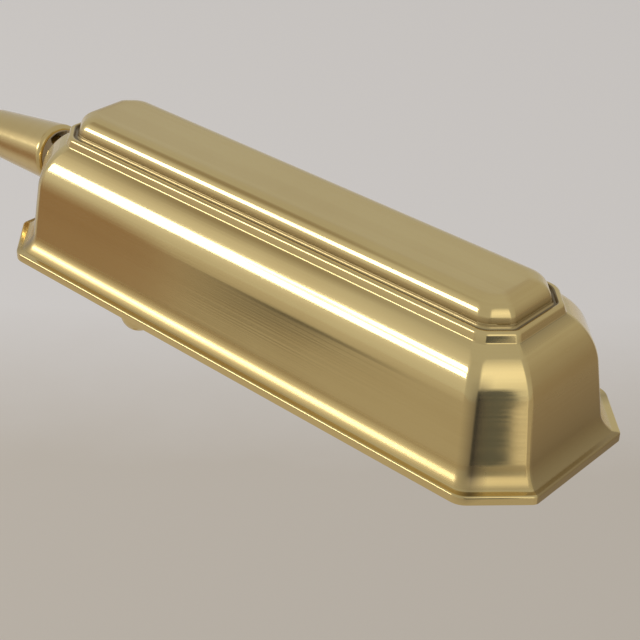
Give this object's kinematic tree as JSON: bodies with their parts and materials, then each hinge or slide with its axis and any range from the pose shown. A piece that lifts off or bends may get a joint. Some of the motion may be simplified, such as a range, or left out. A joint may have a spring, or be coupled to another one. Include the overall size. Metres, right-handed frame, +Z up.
{
  "type": "adjustable floor lamp",
  "caption": "Brass floor lamp with a canted base, telescoping mast, swinging arm and a long canted trough shade that rolls, tilts and holds a screw bulb and a turn switch.",
  "frame": {"origin": "middle of the base's underside on the floor, on the mast's axis", "axes": "+Z up along the mast, +X along the arm towards the shade, +Y to the left of the arm"},
  "size_m": [0.7345, 0.255, 1.149],
  "materials": {
    "polished_brass": "satin",
    "plain_brass": "satin",
    "steel": "satin",
    "lamp_cap": "satin",
    "nylon": "matte",
    "dark_plastic": "matte",
    "paper_liner": "matte",
    "felt": "matte",
    "cast_weight": "matte",
    "bulb_glass": "matte"
  },
  "bodies": {
    "stand": {"base_felt": "felt", "base_weight": "cast_weight", "base_cover": "polished_brass", "cord_grommet": "dark_plastic", "stud_washer": "steel", "stud_nut": "steel", "mast_stud": "steel", "mast_flange": "polished_brass", "mast_tube": "polished_brass", "mast_plug": "plain_brass", "mast_bush": "nylon", "clamp_collar": "polished_brass", "collar_grub_screw": "steel"},
    "lock": {"lock_screw": "steel", "lock_knob": "polished_brass"},
    "riser": {"riser_tube": "polished_brass", "riser_bush": "nylon", "riser_pin": "steel", "swivel_cup": "polished_brass"},
    "swivel": {"swivel_fork": "polished_brass", "swivel_washer": "dark_plastic", "swivel_nut": "steel", "pivot_bolt": "polished_brass", "pivot_washers": "nylon"},
    "tilt_lock": {"tilt_knob": "polished_brass"},
    "arm": {"arm_knuckle": "polished_brass", "arm_tube": "polished_brass", "arm_stop_ring": "polished_brass", "arm_retainer": "steel"},
    "collar": {"tapered_collar": "polished_brass", "pivot_block": "plain_brass", "head_pin": "steel", "friction_discs": "nylon"},
    "shade": {"shade_shell": "polished_brass", "shade_stem": "plain_brass", "stem_saddle": "polished_brass", "stem_seat": "steel", "stem_nut": "steel", "holder_cap": "polished_brass", "holder_shell": "polished_brass", "holder_liner": "paper_liner", "holder_core": "dark_plastic", "screw_shell": "plain_brass", "centre_contact": "plain_brass", "bulb_cap": "lamp_cap", "bulb_tip": "dark_plastic", "bulb_glass": "bulb_glass", "bulb_mount": "bulb_glass", "bulb_filament": "steel"},
    "switch": {"switch_stem": "polished_brass", "switch_knob": "polished_brass"}
  },
  "joints": [
    {"name": "height_slide", "type": "slide", "parent": "stand", "child": "riser", "axis": [0, 0, 1], "range_m": [-0.25, 0.18]},
    {"name": "lock_turn", "type": "hinge", "parent": "stand", "child": "lock", "pos_m": [0, -0.02, 0.701], "axis": [0, -1, 0], "range_deg": [0, 360]},
    {"name": "head_swivel", "type": "hinge", "parent": "riser", "child": "swivel", "pos_m": [0, 0, 1.046], "axis": [0, 0, 1], "range_deg": [-170, 170]},
    {"name": "tilt_lock_turn", "type": "hinge", "parent": "swivel", "child": "tilt_lock", "pos_m": [0, -0.017, 1.085], "axis": [0, -1, 0], "range_deg": [0, 360]},
    {"name": "arm_tilt", "type": "hinge", "parent": "swivel", "child": "arm", "pos_m": [0, 0, 1.085], "axis": [0, -1, 0], "range_deg": [-55, 55]},
    {"name": "head_roll", "type": "hinge", "parent": "arm", "child": "collar", "pos_m": [0.3485, 0, 1.11733], "axis": [0.9957, 0, 0.0924], "range_deg": [-150, 150]},
    {"name": "shade_tilt", "type": "hinge", "parent": "collar", "child": "shade", "pos_m": [0.3485, 0, 1.11733], "axis": [0, -1, 0], "range_deg": [-24, 35]},
    {"name": "switch_turn", "type": "hinge", "parent": "shade", "child": "switch", "pos_m": [0.39563, 0, 1.06343], "axis": [0, 0, -1], "continuous": true}
  ]
}
